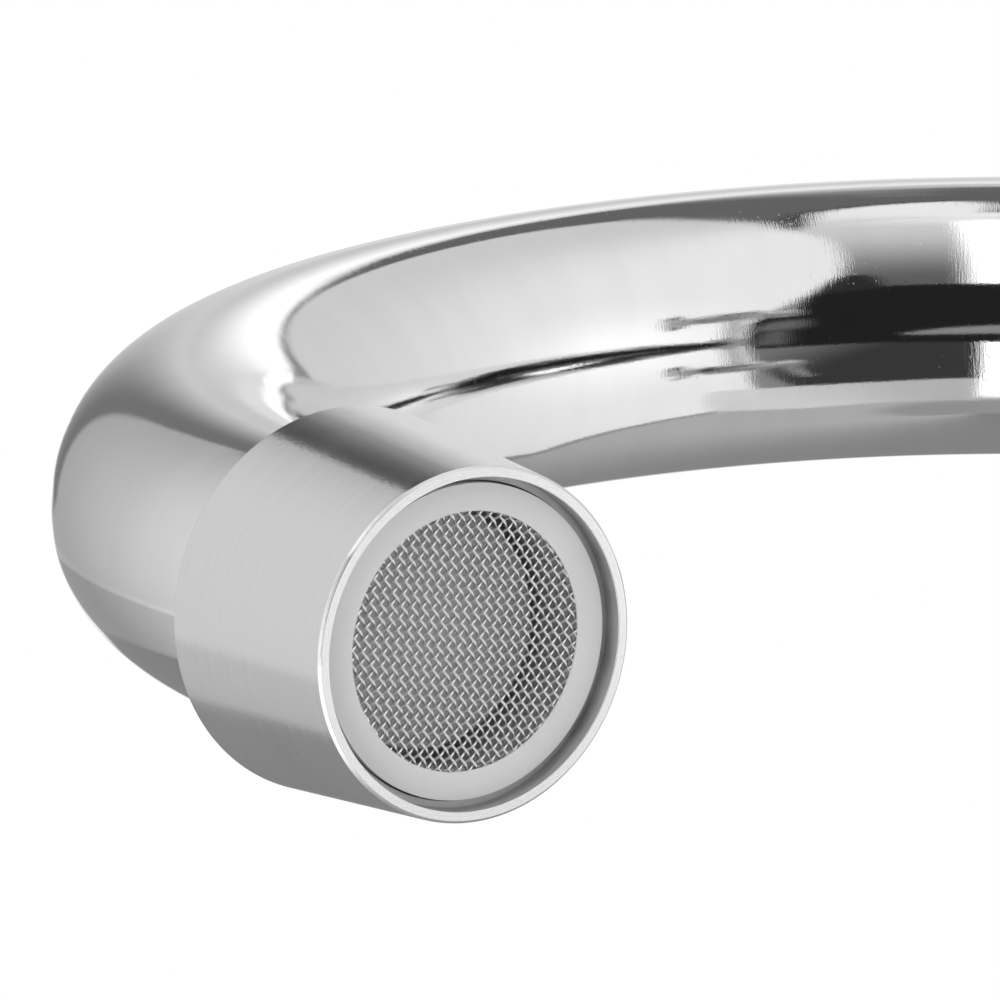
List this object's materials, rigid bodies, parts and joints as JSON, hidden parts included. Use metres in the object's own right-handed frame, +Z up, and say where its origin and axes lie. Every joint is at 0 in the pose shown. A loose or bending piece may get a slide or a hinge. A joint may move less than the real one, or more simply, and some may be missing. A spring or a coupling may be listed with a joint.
{
  "type": "commercial wall faucet",
  "caption": "Wall-mounted bridge faucet with lever valves and a swivelling gooseneck spout that ends in a tapered collar with a screened aerator.",
  "frame": {"origin": "midway between the two supply inlets, on the face of the wall", "axes": "+X to the user's right along the line of the inlets, +Y into the wall, +Z up"},
  "size_m": [0.3552, 0.1948, 0.3285],
  "materials": {
    "chrome": "polished chromium plate on brass",
    "turned_steel": "turned stainless steel with fine circumferential lines",
    "stainless": "plain stainless steel",
    "brass": "machined",
    "ceramic": "lapped alumina ceramic",
    "white_plastic": "satin moulded acetal",
    "black_rubber": "moulded nitrile rubber",
    "red_index": "gloss moulded plastic",
    "blue_index": "gloss moulded plastic"
  },
  "bodies": {
    "body": {"body": "chrome", "hot_inlet_flange": "chrome", "cold_inlet_flange": "chrome", "hot_union_nut": "chrome", "cold_union_nut": "chrome", "hot_union_washer": "black_rubber", "cold_union_washer": "black_rubber", "hot_seat_seal": "black_rubber", "cold_seat_seal": "black_rubber", "hot_fixed_disc": "ceramic", "cold_fixed_disc": "ceramic", "hot_cartridge_shell": "brass", "cold_cartridge_shell": "brass", "hot_cartridge_seal": "black_rubber", "cold_cartridge_seal": "black_rubber", "hot_bonnet": "chrome", "cold_bonnet": "chrome", "spout_nut": "chrome", "spout_thrust_washer": "white_plastic", "spout_slip_ring": "white_plastic"},
    "spout": {"spout_spigot": "brass", "spout_seals": "black_rubber", "spout_tube": "chrome", "outlet_collar": "turned_steel", "aerator_body": "white_plastic", "aerator_flow_plate": "white_plastic", "aerator_washer": "black_rubber", "aerator_outlet_screen": "stainless", "aerator_inlet_screen": "stainless"},
    "hot_handle": {"hot_moving_disc": "ceramic", "hot_valve_stem": "brass", "hot_stem_seal": "black_rubber", "hot_lever": "chrome", "hot_lever_screw": "stainless", "hot_index_button": "red_index"},
    "cold_handle": {"cold_moving_disc": "ceramic", "cold_valve_stem": "brass", "cold_stem_seal": "black_rubber", "cold_lever": "chrome", "cold_lever_screw": "stainless", "cold_index_button": "blue_index"}
  },
  "joints": [
    {"name": "spout_swivel", "type": "hinge", "parent": "body", "child": "spout", "pos_m": [0, -0.0635, 0.0355], "axis": [0, 0, 1], "range_deg": [-110, 110]},
    {"name": "hot_lever_turn", "type": "hinge", "parent": "body", "child": "hot_handle", "pos_m": [-0.1016, -0.1, 0], "axis": [0, -1, 0], "range_deg": [0, 90]},
    {"name": "cold_lever_turn", "type": "hinge", "parent": "body", "child": "cold_handle", "pos_m": [0.1016, -0.1, 0], "axis": [0, 1, 0], "range_deg": [0, 90]}
  ]
}
